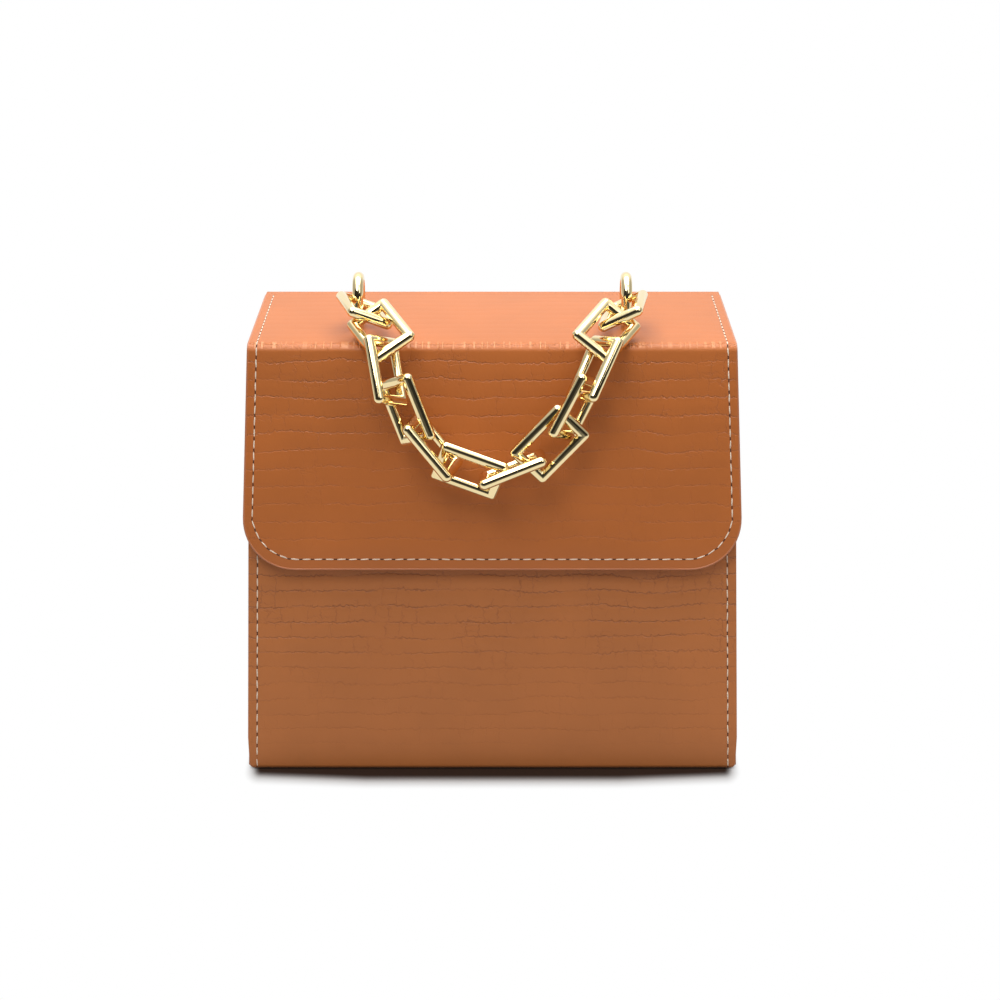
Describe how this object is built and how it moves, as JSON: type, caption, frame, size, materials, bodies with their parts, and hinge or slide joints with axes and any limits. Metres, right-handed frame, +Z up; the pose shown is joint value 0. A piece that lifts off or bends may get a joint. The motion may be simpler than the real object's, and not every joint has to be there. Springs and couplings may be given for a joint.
{
  "type": "handbag",
  "caption": "Boxy flap handbag: stiff tapered body, fold-over lid held by a hidden magnet, and a short carry chain of rectangular links on upright eyes.",
  "frame": {"origin": "centre of the base's underside, on the surface the bag stands on", "axes": "+Z up, -Y toward the front that the lid folds over, +X to the right seen from the front"},
  "size_m": [0.205, 0.1193, 0.2036],
  "materials": {
    "leather": "satin, crocodile embossed",
    "board": "matte",
    "lining": "matte",
    "gold": "polished",
    "steel": "satin"
  },
  "bodies": {
    "body": {"front_panel": "leather", "front_board": "board", "front_lining": "lining", "back_panel": "leather", "back_board": "board", "back_lining": "lining", "base_panel": "leather", "base_board": "board", "base_lining": "lining", "left_gusset": "leather", "left_gusset_board": "board", "left_gusset_lining": "lining", "right_gusset": "leather", "right_gusset_board": "board", "right_gusset_lining": "lining", "clasp_keeper": "steel"},
    "lid": {"lid_cover": "leather", "lid_top_board": "board", "lid_drop_board": "board", "lid_lining": "lining", "clasp_magnet": "steel", "left_eye": "gold", "right_eye": "gold", "left_eye_plate": "steel", "right_eye_plate": "steel", "eye_nuts": "steel"},
    "left_link_1": {"left_link_1": "gold"},
    "left_link_2": {"left_link_2": "gold"},
    "left_link_3": {"left_link_3": "gold"},
    "left_link_4": {"left_link_4": "gold"},
    "left_link_5": {"left_link_5": "gold"},
    "left_link_6": {"left_link_6": "gold"},
    "right_link_1": {"right_link_1": "gold"},
    "right_link_2": {"right_link_2": "gold"},
    "right_link_3": {"right_link_3": "gold"},
    "right_link_4": {"right_link_4": "gold"},
    "right_link_5": {"right_link_5": "gold"},
    "right_link_6": {"right_link_6": "gold"}
  },
  "joints": [
    {"name": "lid_hinge", "type": "hinge", "parent": "body", "child": "lid", "pos_m": [0, 0.0505, 0.183], "axis": [-1, 0, 0], "range_deg": [0, 110]},
    {"name": "left_link_1_lift", "type": "hinge", "parent": "lid", "child": "left_link_1", "pos_m": [-0.05505, -0.01276, 0.19132], "axis": [-1, 0, 0], "range_deg": [0, 104]},
    {"name": "left_link_2_lift", "type": "hinge", "parent": "left_link_1", "child": "left_link_2", "pos_m": [-0.05022, -0.03124, 0.19035], "axis": [-1, 0, 0], "range_deg": [0, 12.98]},
    {"name": "left_link_3_lift", "type": "hinge", "parent": "left_link_2", "child": "left_link_3", "pos_m": [-0.04436, -0.04775, 0.183], "axis": [-1, 0, 0], "range_deg": [0, 52.5]},
    {"name": "left_link_4_lift", "type": "hinge", "parent": "left_link_3", "child": "left_link_4", "pos_m": [-0.03866, -0.05521, 0.16836], "axis": [-1, 0, 0], "range_deg": [0, 6.74]},
    {"name": "left_link_5_lift", "type": "hinge", "parent": "left_link_4", "child": "left_link_5", "pos_m": [-0.03134, -0.0568, 0.15189], "axis": [-1, 0, 0], "range_deg": [0, 3.62]},
    {"name": "left_link_6_lift", "type": "hinge", "parent": "left_link_5", "child": "left_link_6", "pos_m": [-0.02056, -0.05826, 0.13665], "axis": [-1, 0, 0], "range_deg": [0, 3.62]},
    {"name": "right_link_1_lift", "type": "hinge", "parent": "lid", "child": "right_link_1", "pos_m": [0.05496, -0.0128, 0.19117], "axis": [-1, 0, 0], "range_deg": [0, 104.5]},
    {"name": "right_link_2_lift", "type": "hinge", "parent": "right_link_1", "child": "right_link_2", "pos_m": [0.05178, -0.03161, 0.19018], "axis": [-1, 0, 0], "range_deg": [0, 12.98]},
    {"name": "right_link_3_lift", "type": "hinge", "parent": "right_link_2", "child": "right_link_3", "pos_m": [0.04577, -0.04775, 0.183], "axis": [-1, 0, 0], "range_deg": [0, 52.5]},
    {"name": "right_link_4_lift", "type": "hinge", "parent": "right_link_3", "child": "right_link_4", "pos_m": [0.03915, -0.05504, 0.16869], "axis": [-1, 0, 0], "range_deg": [0, 6.74]},
    {"name": "right_link_5_lift", "type": "hinge", "parent": "right_link_4", "child": "right_link_5", "pos_m": [0.0315, -0.05664, 0.15205], "axis": [-1, 0, 0], "range_deg": [0, 3.62]},
    {"name": "right_link_6_lift", "type": "hinge", "parent": "right_link_5", "child": "right_link_6", "pos_m": [0.01936, -0.05804, 0.13753], "axis": [-1, 0, 0], "range_deg": [0, 3.62]}
  ],
  "couplings": [
    {"joint": "left_link_2_lift", "follows": "left_link_1_lift", "ratio": 0.12},
    {"joint": "left_link_3_lift", "follows": "left_link_1_lift", "ratio": 0.5},
    {"joint": "left_link_4_lift", "follows": "left_link_1_lift", "ratio": 0.06},
    {"joint": "left_link_5_lift", "follows": "left_link_1_lift", "ratio": 0.03},
    {"joint": "left_link_6_lift", "follows": "left_link_1_lift", "ratio": 0.03},
    {"joint": "right_link_1_lift", "follows": "left_link_1_lift", "ratio": 1},
    {"joint": "right_link_2_lift", "follows": "left_link_1_lift", "ratio": 0.12},
    {"joint": "right_link_3_lift", "follows": "left_link_1_lift", "ratio": 0.5},
    {"joint": "right_link_4_lift", "follows": "left_link_1_lift", "ratio": 0.06},
    {"joint": "right_link_5_lift", "follows": "left_link_1_lift", "ratio": 0.03},
    {"joint": "right_link_6_lift", "follows": "left_link_1_lift", "ratio": 0.03}
  ]
}
